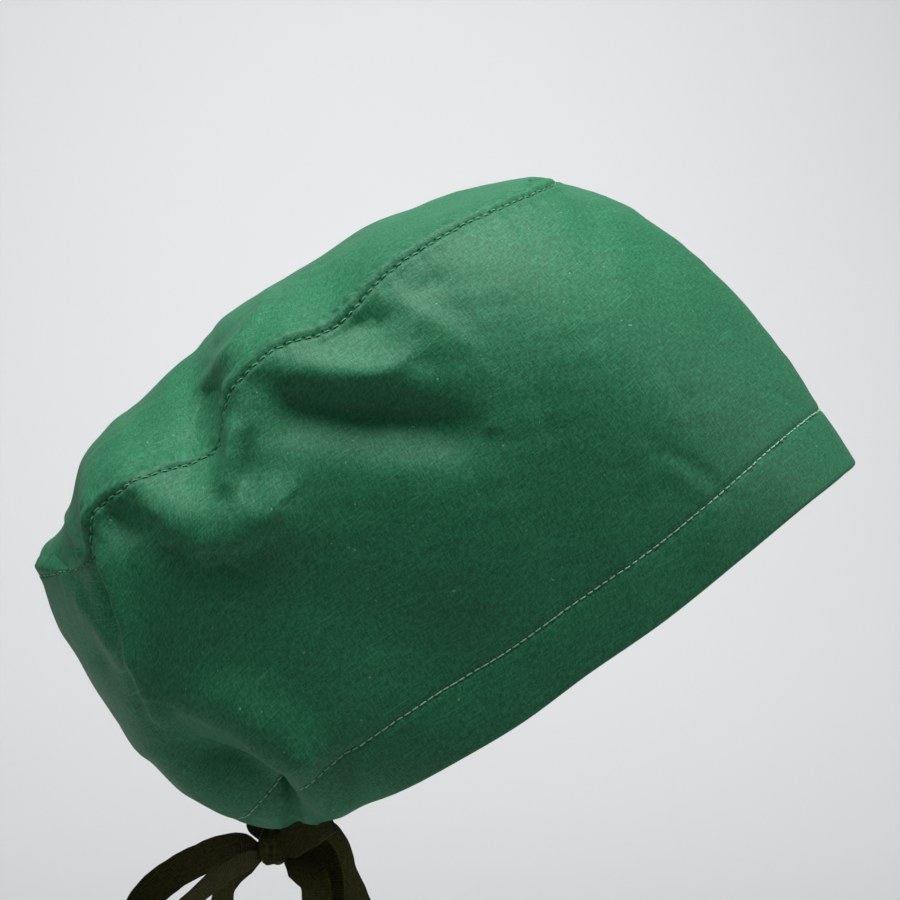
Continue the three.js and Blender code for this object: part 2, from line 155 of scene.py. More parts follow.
# Ribbon routes from the knot, in metres
ROUTES = {
    "loop_back": (
        (-0.11235, -0.0045, -0.074), (-0.12, -0.001, -0.073), (-0.131, 0.005, -0.078),
        (-0.143, 0.008, -0.085), (-0.152, 0.008, -0.093), (-0.157, 0.005, -0.103),
        (-0.156, -0.002, -0.111), (-0.15, -0.009, -0.106), (-0.142, -0.013, -0.095),
        (-0.132, -0.013, -0.085), (-0.121, -0.01, -0.078), (-0.11235, -0.0075, -0.075),
    ),
    "loop_front": (
        (-0.1016, -0.0045, -0.073), (-0.096, -0.008, -0.072), (-0.09, -0.012, -0.075),
        (-0.088, -0.014, -0.083), (-0.088, -0.014, -0.094), (-0.09, -0.017, -0.103),
        (-0.093, -0.021, -0.099), (-0.093, -0.023, -0.089), (-0.094, -0.022, -0.081),
        (-0.098, -0.015, -0.077), (-0.1014, -0.0075, -0.075),
    ),
    "tail_back": (
        (-0.1117, -0.002, -0.075), (-0.117, 0.0015, -0.079), (-0.123, 0.004, -0.086),
        (-0.125, 0.005, -0.095), (-0.127, 0.005, -0.11), (-0.128, 0.005, -0.126),
        (-0.129, 0.005, -0.145),
    ),
    "tail_front": (
        (-0.1012, -0.0016, -0.072), (-0.096, -0.003, -0.0695), (-0.089, -0.005, -0.067),
        (-0.085, -0.007, -0.071), (-0.082, -0.009, -0.081), (-0.077, -0.01, -0.092),
        (-0.073, -0.01, -0.103), (-0.07, -0.01, -0.117), (-0.067, -0.01, -0.132),
    ),
    "lead_right": (
        (-0.105, -0.013, -0.071), (-0.1, -0.0185, -0.0665), (-0.095, -0.0265, -0.0615),
        (-0.0895, -0.0355, -0.055),
    ),
    "lead_left": (
        (-0.109, -0.002, -0.069), (-0.1105, 0.004, -0.066), (-0.108, 0.013, -0.0635),
        (-0.102, 0.024, -0.066),
    ),
}
KNOT_CENTRE = (-0.107, -0.006, -0.072)
KNOT_SIZE = (0.0105, 0.0125, 0.0125)

# Columns: name, knotted ends, first direction across, length over which it opens, ripple seed
RIBBONS = (
    ("loop_back", 2, (0.2, -0.5, 1), 0.004, 51),
    ("loop_front", 2, (0, 0, 1), 0.006, 54),
    ("tail_back", 1, (0, 0.6, 1), 0.006, 57),
    ("tail_front", 1, (0, 1, 0.35), 0.006, 60),
    ("lead_right", 1, (0, 0, 1), 0.0045, 63),
    ("lead_left", 1, (1, 0, 0.4), 0.008, 66),
)

# Grid sizes: columns round the cap, rings along a ribbon and points round its section
COLUMNS = 600
RIBBON_RINGS = 90
RIBBON_SIDES = 24

# Rows from the band's upper edge down to its stitches, and rows of its inner side
SEAM_ROW = 4
INNER_ROWS = 42

# Step in section numbers and shares from which slopes are taken, and samples from hem to seam
SLOPE_STEP = 0.02
HEIGHT_SAMPLES = 121

# Share of the length over which the folds of one side fade out across the middle
MIDDLE_WIDTH = 0.048

# How far the crown's edge and its two tips lie inside the seam line
EDGE_INSET = 0.00045
TIP_INSET = 0.0002

# Step of the cloth map from row to row where the cloth turns over, and the seam map's value in
# millimetres for cloth without a seam
TURN_STEP = 0.0004
NO_SEAM = 50

# The band's lip over the crown: millimetres inward from the seam and up from the crown
LIP = ((1.8, 1.3), (3.7, 1.35), (5.2, 1.2), (5.7, 0.75), (5.3, 0.34), (3.5, 0.16), (1.3, 0.06))


def unit(vectors):
    """Vectors scaled to length one along the last axis."""
    return vectors / np.maximum(np.linalg.norm(vectors, axis=-1, keepdims=True), 1e-12)


def smooth_step(low, high, value):
    """0 below low, 1 above high, and the cubic 3s^2 - 2s^3 between."""
    share = np.clip((value - low) / (high - low), 0, 1)
    return share * share * (3 - 2 * share)


def run_length(points):
    """Distance walked along a row of points, starting at 0."""
    steps = np.linalg.norm(np.diff(points, axis=0), axis=1)
    return np.concatenate([[0], np.cumsum(steps)])


def waver(run, waves, seed):
    """A sum of sines of the given wavelengths whose phases come from the seed; it stays near -1 to 1."""
    phases = np.random.default_rng(seed).uniform(0, 2 * math.pi, len(waves))
    return sum(np.sin(2 * math.pi * run / wave + phase) for wave, phase in zip(waves, phases)) / len(waves)


class CapShape:
    """The cap's surfaces as functions of two parameters.

    t counts the sections, 0 at the forehead, LAST at the nape and on round the left side.
    v runs from 0 at the hem to 1 at the crown seam.
    """

    def __init__(self, sizes):
        self.length = sizes.length
        self.height = sizes.height
        self.cloth = sizes.cloth
        self.hem_depth = sizes.hem_depth
        self.seam_width = sizes.seam_width
        scale = np.array([sizes.length, -sizes.half_width, sizes.height])
        right = np.array([row[:4] for row in SECTIONS]) * scale
        left = right[LAST - 1 : 0 : -1] * np.array([1, -1, 1])
        self.guides = np.concatenate([right, left])
        rise = np.array([(row[4] * sizes.height, row[5] * sizes.length) for row in SECTIONS])
        self.crown_rows = np.concatenate([rise, rise[LAST - 1 : 0 : -1]])
        self.fold_scale = np.array([sizes.length, sizes.height] * 2 + [sizes.length] * 3 + [1])
        self.middle_width = MIDDLE_WIDTH * sizes.length

    def along(self, rows, t):
        """The smooth curve through a closed ring of rows at section number t."""
        first = np.floor(t).astype(int)
        f = (t - first).reshape(t.shape + (1,) * (rows.ndim - 1))
        a, b, c, d = (rows[(first + k) % AROUND] for k in (-1, 0, 1, 2))
        return b + 0.5 * f * (c - a + f * (2 * a - 5 * b + 4 * c - d + f * (3 * (b - c) + d - a)))

    def band(self, t, v):
        """The cubic through the four guide points of section t, at v = 0, 1/3, 2/3 and 1."""
        hem, low, high, seam = np.moveaxis(self.along(self.guides, t), -2, 0)
        a, b, c = v - 1 / 3, v - 2 / 3, v - 1
        shares = (-4.5 * a * b * c, 13.5 * v * b * c, -13.5 * v * a * c, 4.5 * v * a * b)
        return sum(share[..., None] * guide for share, guide in zip(shares, (hem, low, high, seam)))

    def fold_height(self, p, folds):
        """The sum over the folds of depth * exp(-(distance / reach)^2), by distance in the side view."""
        turn = np.tanh(p[..., 1] / self.middle_width)
        height = np.zeros(p.shape[:-1])
        side_view = p[..., (0, 2)]
        for *ends, reach, other_reach, depth, side in np.array(folds) * self.fold_scale:
            line = np.subtract(ends[2:], ends[:2])
            off = side_view - ends[:2]
            share = np.clip(off @ line / (line @ line), 0, 1)
            gap = off - share[..., None] * line
            upper = gap[..., 1] * abs(line[0]) + gap[..., 0] * abs(line[1]) > 0
            distance = np.linalg.norm(gap, axis=-1) / np.where(upper, reach, other_reach)
            weight = 0.85 - 0.15 * turn if side == 0 else 0.5 - 0.5 * side * turn
            height += weight * depth * np.exp(-(distance**2))
        return height

    def crease_height(self, p, creases):
        """The sum over the creases of depth * exp(-(distance / reach)^2), by distance in the side view.

        The nearest stretch of each line counts, and the depth fades towards both ends.
        """
        turn = np.tanh(p[..., 1] / self.middle_width)
        height = np.zeros(p.shape[:-1])
        side_view = p[..., (0, 2)]
        for line, reach, other_reach, depth in creases:
            line = np.array(line) * (self.length, self.height)
            walked = run_length(line) / run_length(line)[-1]
            bell = np.zeros(p.shape[:-1])
            for k, step in enumerate(np.diff(line, axis=0)):
                off = side_view - line[k]
                share = np.clip(off @ step / (step @ step), 0, 1)
                gap = off - share[..., None] * step
                left = step[0] * gap[..., 1] - step[1] * gap[..., 0] > 0
                distance = np.linalg.norm(gap, axis=-1) / (self.length * np.where(left, reach, other_reach))
                fade = np.sin(math.pi * (0.12 + 0.76 * (walked[k] + share * (walked[k + 1] - walked[k]))))
                bell = np.maximum(bell, fade * np.exp(-(distance**2)))
            height += (0.5 - 0.5 * turn) * depth * self.length * bell
        return height

    def slope_normal(self, surface, t, v):
        """The outward normal from small steps in both parameters."""
        up = surface(t, np.minimum(v + SLOPE_STEP, 1)) - surface(t, np.maximum(v - SLOPE_STEP, 0))
        on = surface(t + SLOPE_STEP, v) - surface(t - SLOPE_STEP, v)
        return unit(np.cross(up, on))

    def side(self, t, v):
        """The band with its folds, which rise along the band's normal; the creases fade out at the seam."""
        p = self.band(t, v)
        height = self.fold_height(p, MAIN_FOLDS)
        height = height + self.crease_height(p, BAND_CREASES) * (1 - smooth_step(0.96, 1, v))
        return p + height[..., None] * self.slope_normal(self.band, t, v)

    def steps_up(self, t):
        """The samples' v, and the cloth's length from each sample to the next at section t."""
        shares = np.linspace(0, 1, HEIGHT_SAMPLES)
        line = self.band(t[:, None], np.broadcast_to(shares, (len(t), HEIGHT_SAMPLES)))
        return shares, np.linalg.norm(np.diff(line, axis=1), axis=2)

    def share_at(self, t, heights):
        """The v at each height above the hem, measured along the cloth of section t."""
        shares, steps = self.steps_up(t)
        lengths = np.concatenate([np.zeros((len(t), 1)), np.cumsum(steps, axis=1)], axis=1)
        return np.stack([np.interp(h, run, shares) for h, run in zip(heights, lengths)])

    def full_height(self, t):
        """The cloth's height from hem to seam at section t."""
        return self.steps_up(t)[1].sum(axis=1)

    def seam_frame(self, t):
        """The seam point with the inward direction on the crown and the shared outward normal."""
        one = np.ones_like(t)
        seam = self.side(t, one)
        along = unit(self.side(t + SLOPE_STEP, one) - self.side(t - SLOPE_STEP, one))
        row = np.clip(np.minimum(t % AROUND, AROUND - t % AROUND), 2.5, LAST - 1.5)
        middle = self.side(np.where(t % AROUND > LAST, AROUND - row, row), one)
        middle[..., (2, 0)] += self.along(self.crown_rows, row)
        middle[..., 1] = 0
        inward = middle - seam
        inward = unit(inward - (inward * along).sum(-1, keepdims=True) * along)
        up = unit(np.cross(inward, along))
        return seam, inward, unit(up + self.slope_normal(self.side, t, one))

    def crown(self, t, w):
        """Arches from the right seam, w = -1, to the left seam, w = 1, raised by 1 - w^2."""
        edges = []
        for around in (t, AROUND - t):
            seam, inward, _ = self.seam_frame(around)
            edges.append((seam + EDGE_INSET * inward)[:, None])
        arch = 1 - w * w
        p = edges[0] + (edges[1] - edges[0]) * ((1 + w) / 2)[:, None]
        p[..., (2, 0)] += self.along(self.crown_rows, t)[:, None] * arch[:, None]
        p[..., 2] += 2 * self.fold_height(p, MAIN_FOLDS) * np.abs(w) * arch
        return p


def grid_faces(rows, columns, close_rows=False, close_columns=False):
    """Quads between neighbours of a grid stored row by row, with each corner's row and column."""
    i, j = np.meshgrid(
        np.arange(rows if close_rows else rows - 1),
        np.arange(columns if close_columns else columns - 1),
        indexing="ij",
    )
    row = np.stack([i, i, i + 1, i + 1], -1).reshape(-1, 4)
    column = np.stack([j, j + 1, j + 1, j], -1).reshape(-1, 4)
    return (row % rows) * columns + column % columns, row, column


def add_piece(name, points, parts, material, maps=None):
    """A smooth closed mesh at the origin, turned outward by its signed volume.

    parts holds arrays of faces with equal corner counts; maps holds, for each name, pairs per face corner.
    """
    volume = 0
    for faces in parts:
        for k in range(1, faces.shape[1] - 1):
            volume += (points[faces[:, 0]] * np.cross(points[faces[:, k]], points[faces[:, k + 1]])).sum()
    turn = 1 if volume > 0 else -1
    corners = np.concatenate([faces[:, ::turn].ravel() for faces in parts])
    counts = np.concatenate([np.full(len(faces), faces.shape[1]) for faces in parts])
    mesh = bpy.data.meshes.new(name)
    mesh.vertices.add(len(points))
    mesh.vertices.foreach_set("co", np.ascontiguousarray(points, dtype=np.float32).ravel())
    mesh.loops.add(len(corners))
    mesh.loops.foreach_set("vertex_index", corners.astype(np.int32))
    mesh.polygons.add(len(counts))
    mesh.polygons.foreach_set("loop_start", (np.cumsum(counts) - counts).astype(np.int32))
    mesh.update(calc_edges=True)
    for key, pairs in (maps or {}).items():
        flat = np.concatenate([part[:, ::turn].ravel() for part in pairs])
        mesh.uv_layers.new(name=key).uv.foreach_set("vector", flat.astype(np.float32))
    mesh.polygons.foreach_set("use_smooth", np.ones(len(counts), dtype=bool))
    mesh.materials.append(material)
    piece = new_object(name, mesh)
    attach(piece, "root")
    return piece


def new_object(name, data):
    """An object with the data, linked to the scene."""
    made = bpy.data.objects.new(name, data)
    bpy.context.scene.collection.objects.link(made)
    return made


class Value:
    """A node socket that adds Math nodes when it is used in an expression."""

    def __init__(self, graph, socket):
        self.graph = graph
        self.socket = socket

    def math(self, operation, *values):
        """A Math node with the values."""
        return self.graph.node("ShaderNodeMath", values, operation=operation)

    def __add__(self, other):
        return self.math("ADD", self, other)

    __radd__ = __add__

    def __sub__(self, other):
        return self.math("SUBTRACT", self, other)

    def __rsub__(self, other):
        return self.math("SUBTRACT", other, self)

    def __mul__(self, other):
        return self.math("MULTIPLY", self, other)

    __rmul__ = __mul__

    def sine(self):
        """The sine, of an angle in radians."""
        return self.math("SINE", self)

    def size(self):
        """The value without its sign."""
        return self.math("ABSOLUTE", self)

    def share(self):
        """The part after the decimal point."""
        return self.math("FRACT", self)

    def between(self, low, high):
        """0 below low, 1 above high and smooth between."""
        values = (self, low, high, 0.0, 1.0)
        return self.graph.node("ShaderNodeMapRange", values, interpolation_type="SMOOTHSTEP")


class Graph:
    """The node tree of one material."""

    def __init__(self, name, sheen_tint=(1, 1, 1), **constants):
        self.material = bpy.data.materials.new(name)
        self.material.use_nodes = True
        self.nodes = self.material.node_tree.nodes
        self.links = self.material.node_tree.links
        self.shader = self.nodes["Principled BSDF"]
        self.shader.inputs["Sheen Tint"].default_value = (*sheen_tint, 1)
        for key, value in constants.items():
            self.shader.inputs[key.replace("_", " ")].default_value = value

    def node(self, kind, values=(), output=0, **settings):
        """Adds a node: its settings first, then values or links for its sockets by order or by name."""
        node = self.nodes.new(kind)
        for key, setting in settings.items():
            setattr(node, key, setting)
        pairs = values.items() if isinstance(values, dict) else enumerate(values)
        for key, value in pairs:
            if isinstance(value, Value):
                self.links.new(value.socket, node.inputs[key])
            else:
                node.inputs[key].default_value = value
        return Value(self, node.outputs[output])

    def noise(self, vector, scale, detail=2.0):
        """Even noise, near 0 to 1."""
        return self.node("ShaderNodeTexNoise", {"Vector": vector, "Scale": scale, "Detail": detail})

    def streaks(self, vector, scale):
        """Noise stretched by a separate scale along each axis."""
        return self.noise(self.node("ShaderNodeMapping", {"Vector": vector, "Scale": scale}), 1.0)

    def parts(self, vector):
        """The vector's x and y."""
        split = self.node("ShaderNodeSeparateXYZ", (vector,))
        return split, Value(self, split.socket.node.outputs[1])

    def blend(self, share, first, second):
        """The colour that goes from first to second as share goes from 0 to 1."""
        return self.node("ShaderNodeMix", {0: share, 6: first, 7: second}, output=2, data_type="RGBA")

    def finish(self, color, roughness, height, strength=0.8):
        """Feeds the colour, the roughness and the normal of a bump whose height is in millimetres."""
        normal = self.node("ShaderNodeBump", {"Strength": strength, "Distance": 0.001, "Height": height})
        for key, value in (("Base Color", color), ("Roughness", roughness), ("Normal", normal)):
            self.links.new(value.socket, self.shader.inputs[key])
        return self.material


def cloth_material(look):
    """Plain-weave cotton: fine slubbed threads both ways, painted lighter on the raised threads as painted sheen
    and darker between them as painted shade, a soft worn mottle and a few pale specks.
    """
    sheen = {"Sheen_Weight": 0.03, "Sheen_Roughness": 0.6}
    graph = Graph("green cotton", (0.7, 0.95, 0.8), Specular_IOR_Level=0.3, **sheen)
    cloth = graph.node("ShaderNodeUVMap", output="UV", uv_map="Cloth")
    seam = graph.node("ShaderNodeUVMap", output="UV", uv_map="Seam")
    place = graph.node("ShaderNodeTexCoord", output="Object")
    threads = graph.streaks(cloth, (380, 1400, 1)) + graph.streaks(cloth, (1400, 380, 1))
    slubs = graph.streaks(cloth, (60, 1100, 1)).between(0.58, 0.78)
    grain = graph.noise(cloth, 1500.0, 1.0)
    mottle = graph.noise(place, 34.0, 4.0)
    turn, off = graph.parts(seam)
    hole = (turn.share() - 0.5).size().between(0.3, 0.45) * (1 - off.size().between(0.3, 0.75))
    # The tone runs from the shade colour between the threads to the light colour on them. This is painted shade
    # and painted sheen of the weave, with random tone from slubs, grain and mottle.
    tone = threads * 1.15 + slubs * 0.45 + grain * 0.9 + mottle * 0.3 - 1.83
    color = graph.blend(tone.between(-0.55, 0.65), (*look.shade_color, 1), (*look.light_color, 1))
    lint = graph.noise(place, 700.0, 0.0).between(0.86, 0.88)
    color = graph.blend(lint * 0.45, color, (0.35, 0.5, 0.42, 1))
    color = graph.blend(hole * 0.6, color, (0.003, 0.03, 0.014, 1))
    height = threads * 0.1 + slubs * 0.03 + grain * 0.08 - hole * 0.3
    return graph.finish(color, mottle * 0.1 + 0.53, height)


def ribbon_material(look):
    """Woven tape: close cross ribs on a dull olive black."""
    graph = Graph("olive black tape", (0.8, 0.8, 0.6), Sheen_Weight=0.0, Specular_IOR_Level=0.12)
    tape = graph.node("ShaderNodeUVMap", output="UV", uv_map="Cloth")
    run, _ = graph.parts(tape)
    fray = graph.noise(tape, 900.0)
    ribs = (run * (2 * math.pi / 0.0009) + fray * 4.0).sine() * 0.5 + 0.5
    threads = graph.streaks(tape, (300, 2600, 1))
    tone = (ribs * 0.12 + threads * 0.5 + fray * 0.4).between(0.3, 0.72)
    color = graph.blend(tone, (0.013, 0.0135, 0.004, 1), (*look.tape_color, 1))
    return graph.finish(color, fray * 0.2 + 0.65, ribs * 0.025 + threads * 0.1)


def thread_material(name, tint):
    """Twisted sewing thread in one tint."""
    graph = Graph(name, Sheen_Weight=0.2, Specular_IOR_Level=0.4)
    place = graph.node("ShaderNodeTexCoord", output="Object")
    fibres = graph.noise(place, 2500.0)
    color = graph.blend(fibres.between(0.25, 0.75), (*(0.6 * c for c in tint), 1), (*tint, 1))
    return graph.finish(color, fibres * 0.2 + 0.6, fibres * 0.1)


class Ring:
    """A grid round the cap: columns at section numbers, rows at heights above the hem."""

    def __init__(self, shape, height, full):
        self.t = section_numbers()
        self.full = full
        self.height = height
        self.below = full[:, None] - height
        self.v = shape.share_at(self.t, height)
        self.point = shape.side(np.broadcast_to(self.t[:, None], self.v.shape), self.v)
        on = np.roll(self.point, -1, axis=0) - np.roll(self.point, 1, axis=0)
        self.normal = unit(np.cross(np.gradient(self.point, axis=1), on))
        line = self.point[:, self.v.shape[1] // 2]
        self.run = run_length(closed(line))


def section_numbers():
    """The section number of each column, from the nape round to the nape."""
    return LAST + np.arange(COLUMNS) * AROUND / COLUMNS


def closed(rows):
    """The rows with the first one repeated at the end."""
    return np.concatenate([rows, rows[:1]])


def wrapped(grid):
    """The grid with its first row and its first column repeated at the end."""
    return np.pad(grid, ((0, 1), (0, 1)), mode="wrap")


def hem_relief(run, height, depth):
    """Puff of the turned hem between its edge and its stitches, with gathers, and puckers at the stitches."""
    puff = 0.0005 * np.sin(np.pi * np.clip(height / depth, 0, 1))
    line = np.exp(-(((height - depth) / 0.0012) ** 2))
    near = np.exp(-(np.abs(height - depth) / 0.006))
    pucker = 0.00022 * waver(run, (0.0062, 0.0095, 0.013), 3) * near
    gather = 0.0003 * waver(run, (0.017, 0.029, 0.044), 5) * smooth_step(0, 0.012, height)
    return puff - 0.00055 * line + pucker + gather


def seam_relief(run, below, width):
    """The band's folded edge: a soft roll above the stitches, the dip along them and puckers below."""
    rise = 0.0011 * (1 - smooth_step(0.001, 0.007, below))
    line = np.exp(-(((below - width) / 0.0009) ** 2))
    near = np.exp(-(np.abs(below - width) / 0.005))
    pucker = 0.00045 * waver(run, (0.0057, 0.0085, 0.014), 11) * near
    return rise - 0.0008 * line + pucker


def cloth_waver(run, height):
    """The broad, shallow unevenness that worn cotton has all over."""
    drift = waver(run + 0.4 * height, (0.045, 0.071, 0.11), 21) * waver(height + 0.2 * run, (0.038, 0.06), 22)
    fine = waver(run - 0.6 * height, (0.013, 0.021), 23) * waver(height + 0.5 * run, (0.017, 0.027), 24)
    return 0.0008 * drift + 0.00022 * fine


def make_band(shape, sizes, material):
    """The band: outer rows, a lip folded over the crown, and inner rows one cloth thickness inside."""
    t = section_numbers()
    full = shape.full_height(t)
    low = shape.hem_depth + np.array([0, 0.0005, 0.001, 0.0017, 0.003, 0.005])
    top = 0.001 * np.array([12, 9, 7, 5.8, 4.8, 4, 3.4, 2.8, 2.2, 1.6, 0.8, 0])
    low = np.broadcast_to(low, (COLUMNS, len(low)))
    high = full[:, None] - top
    share = np.linspace(0, 1, 100)[1:-1]
    middle = low[:, -1:] + (high[:, :1] - low[:, -1:]) * share
    ring = Ring(shape, np.concatenate([low, middle, high], axis=1), full)
    run = ring.run[:-1, None]
    fade = np.exp(-np.maximum(ring.height - shape.hem_depth, 0) / 0.01)
    relief = seam_relief(run, ring.below, shape.seam_width)
    relief = relief + hem_relief(run, ring.height, shape.hem_depth) * fade
    free = smooth_step(0, 0.02, ring.below) * smooth_step(0, 0.015, ring.height - shape.hem_depth)
    relief = relief + cloth_waver(run, ring.height) * free
    seam, inward, seam_normal = shape.seam_frame(t)
    share = (1 - smooth_step(0, 0.006, ring.below))[..., None]
    normal = unit(ring.normal * (1 - share) + seam_normal[:, None] * share)
    outer = ring.point + relief[..., None] * normal
    sway = 1 + 0.25 * waver(ring.run[:-1], (0.009, 0.014, 0.023), 31)
    ruck = 1 + 0.35 * waver(ring.run[:-1], (0.0045, 0.0062, 0.0091), 33)
    dip = np.exp(-(((t % AROUND - 5.75) / 0.42) ** 2))
    ruck = ruck + 0.55 * np.sin(2 * math.pi * ring.run[:-1] / 0.006) * dip
    lip = []
    for forward, lift in LIP:
        rise = (0.001 * lift * ruck)[:, None] * seam_normal
        lip.append(seam + (0.001 * forward * sway)[:, None] * inward + rise)
    kept = np.unique(np.linspace(0, outer.shape[1] - 1, INNER_ROWS).astype(int))[::-1]
    inner = (ring.point - shape.cloth * normal)[:, kept]
    points = np.concatenate([outer, np.stack(lip, axis=1), inner], axis=1)
    faces, row, column = grid_faces(COLUMNS, points.shape[1], close_rows=True, close_columns=True)
    beyond = np.broadcast_to(TURN_STEP * np.arange(1, len(LIP) + 1), (COLUMNS, len(LIP)))
    level = np.concatenate([ring.height, full[:, None] + beyond, ring.height[:, kept]], axis=1)
    below = np.concatenate([ring.below, -beyond, ring.below[:, kept] + 1], axis=1)
    level = wrapped(level)[row, column]
    below = wrapped(below)[row, column]
    seam_line = outer[:, ring.v.shape[1] - 1 - SEAM_ROW]
    hem_line = outer[:, 0]
    seam_run = run_length(closed(seam_line))
    seam_run = seam_run * round(seam_run[-1] / sizes.seam_pitch) / seam_run[-1]
    maps = {
        "Cloth": [np.stack([ring.run[row], level], -1)],
        "Seam": [np.stack([seam_run[row], (below - shape.seam_width) * 1000], -1)],
    }
    piece = add_piece("cap_band", points.reshape(-1, 3), [faces], material, maps)
    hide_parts("side_band")
    stitches = {
        "seam": (seam_line, normal[:, ring.v.shape[1] - 1 - SEAM_ROW]),
        "hem": (hem_line, normal[:, 0]),
    }
    return piece, stitches


def make_hem(shape, material):
    """The turned hem: the outer ply, the round fold at the edge and the inner ply."""
    depth = shape.hem_depth
    shares = np.array([0.03, 0.07, 0.12, 0.2, 0.3, 0.42, 0.54, 0.66, 0.76, 0.85, 0.91, 0.955, 0.985, 1.008])
    t = section_numbers()
    ring = Ring(shape, np.broadcast_to(depth * shares, (COLUMNS, len(shares))), shape.full_height(t))
    line = ring.point[:, -2]
    run = run_length(closed(line))
    relief = hem_relief(run[:-1, None], ring.height, depth)
    outer = ring.point + relief[..., None] * ring.normal
    thick = 0.0009 + 0.0019 * np.sqrt(np.clip(1 - ((shares - 0.35) / 0.66) ** 2, 0, 1))
    inner = ring.point - (thick + 0.5 * relief)[..., None] * ring.normal
    middle = 0.5 * (outer[:, :1] + inner[:, :1])
    half = 0.5 * (outer[:, :1] - inner[:, :1])
    radius = np.linalg.norm(half, axis=-1, keepdims=True)
    down = unit(outer[:, :1] - outer[:, 2:3])
    angle = np.radians([150, 120, 90, 60, 30])[None, :, None]
    fold = middle + np.cos(angle) * half + np.sin(angle) * radius * down
    points = np.concatenate([fold, outer, inner[:, ::-1]], axis=1)
    faces, row, column = grid_faces(COLUMNS, points.shape[1], close_rows=True, close_columns=True)
    under = np.broadcast_to(-0.0006 * np.arange(5, 0, -1), (COLUMNS, 5))
    level = np.concatenate([under, ring.height, ring.height[:, ::-1]], axis=1)
    level = wrapped(level)[row, column]
    maps = {
        "Cloth": [np.stack([run[row], level], -1)],
        "Seam": [np.full((*row.shape, 2), NO_SEAM)],
    }
    piece = add_piece("cap_hem", points.reshape(-1, 3), [faces], material, maps)
    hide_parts("hem_casing")
    return piece


def make_crown(shape, material):
    """The crown: outer and inner sheets that meet in a rim tucked under the band's lip."""
    rows, columns = 300, 129
    t = np.linspace(0, LAST, rows + 2)[1:-1]
    w = 0.35 * np.sin(np.linspace(-1, 1, columns) * math.pi / 2) + 0.65 * np.linspace(-1, 1, columns)
    point = shape.crown(t, w)
    normal = unit(np.cross(np.gradient(point, axis=1), np.gradient(point, axis=0)))
    run = run_length(point[:, columns // 2])[:, None]
    half = np.linalg.norm(point[:, -1] - point[:, 0], axis=1)[:, None] / 2
    side_run = w * half
    edge = (1 - np.abs(w)) * half
    relief = cloth_waver(run + 3, side_run) * smooth_step(0, 0.02, edge)
    pucker = waver(run, (0.008, 0.0125, 0.019), 41) * np.exp(-edge / 0.008) * smooth_step(0, 0.003, edge)
    fine = shape.crease_height(point, CROWN_CREASES) * smooth_step(0.0015, 0.006, edge)
    outer = point + (relief + 0.0003 * pucker + fine)[..., None] * normal
    wall = 0.8 * shape.cloth
    ends = []
    for offset in (0, -wall):
        seam, inward, seam_normal = shape.seam_frame(np.array([0.0, LAST]))
        ends.append(seam + TIP_INSET * inward + offset * seam_normal)
    count = rows * columns
    points = np.concatenate([outer.reshape(-1, 3), (point - wall * normal).reshape(-1, 3), *ends])
    top, _, _ = grid_faces(rows, columns)
    left = np.arange(rows) * columns
    rim = np.concatenate([left, [2 * count + 1], left[::-1] + columns - 1, [2 * count]])
    under = np.where(rim < count, rim + count, rim + 2)
    wall_faces = np.stack([rim, np.roll(rim, -1), np.roll(under, -1), under], -1)
    first = np.arange(columns - 1)
    final = first + (rows - 1) * columns
    tip = np.full(columns - 1, 2 * count)
    caps = [
        np.stack([tip, first + 1, first], -1),
        np.stack([tip + 1, final, final + 1], -1),
        np.stack([tip + 2, first + count, first + 1 + count], -1),
        np.stack([tip + 3, final + 1 + count, final + count], -1),
    ]
    flat = np.stack([np.broadcast_to(run, side_run.shape), side_run], -1).reshape(-1, 2)
    flat = np.concatenate([flat, flat, [[0, 0], [run[-1, 0], 0]] * 2])
    parts = [top, top[:, ::-1] + count, wall_faces, np.concatenate(caps)]
    maps = {
        "Cloth": [flat[faces] for faces in parts],
        "Seam": [np.full((*faces.shape, 2), NO_SEAM) for faces in parts],
    }
    piece = add_piece("cap_crown", points, parts, material, maps)
    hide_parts("crown_panel")
    return piece


def make_stitches(name, line, normals, material, pitch, length, thick, lift):
    """Thread capsules at equal steps along a closed line, each arched with its ends sunk in the cloth."""
    run = run_length(closed(line))
    count = int(round(run[-1] / pitch))
    centre = (np.arange(count) + 0.5) * run[-1] / count

    def at(rows, where):
        """The rows at distances along the line."""
        return np.stack([np.interp(where % run[-1], run, closed(rows)[:, k]) for k in range(3)], -1)

    along = unit(at(line, centre + length / 2) - at(line, centre - length / 2))
    up = at(normals, centre)
    up = unit(up - (up * along).sum(-1, keepdims=True) * along)
    across = np.cross(up, along)
    generator = np.random.default_rng(7)
    lean = generator.normal(0, 0.05, count)[:, None, None]
    reach = generator.normal(1, 0.08, count)[:, None, None]
    rows = np.array([-1, -0.93, -0.72, -0.35, 0, 0.35, 0.72, 0.93, 1])[:, None]
    side = np.arange(6)
    angle = side * math.pi / 3
    radius = thick / 2 * (0.05 + 0.95 * np.sqrt(1 - rows**6))
    x = rows * length / 2 * reach + 0 * angle
    y = radius * np.cos(angle) + lean * x
    z = radius * np.sin(angle) + lift * (1 - 1.5 * rows**4) + 0 * x
    points = at(line, centre)[:, None, None]
    for share, axis in ((x, along), (y, across), (z, up)):
        points = points + share[..., None] * axis[:, None, None]
    quads, _, _ = grid_faces(len(rows), len(side), close_columns=True)
    ends = np.stack([side[::-1], side + (len(rows) - 1) * len(side)])
    shift = np.arange(count)[:, None, None] * len(rows) * len(side)
    parts = [(quads + shift).reshape(-1, 4), (ends + shift).reshape(-1, len(side))]
    return add_piece(name, points.reshape(-1, 3), parts, material)


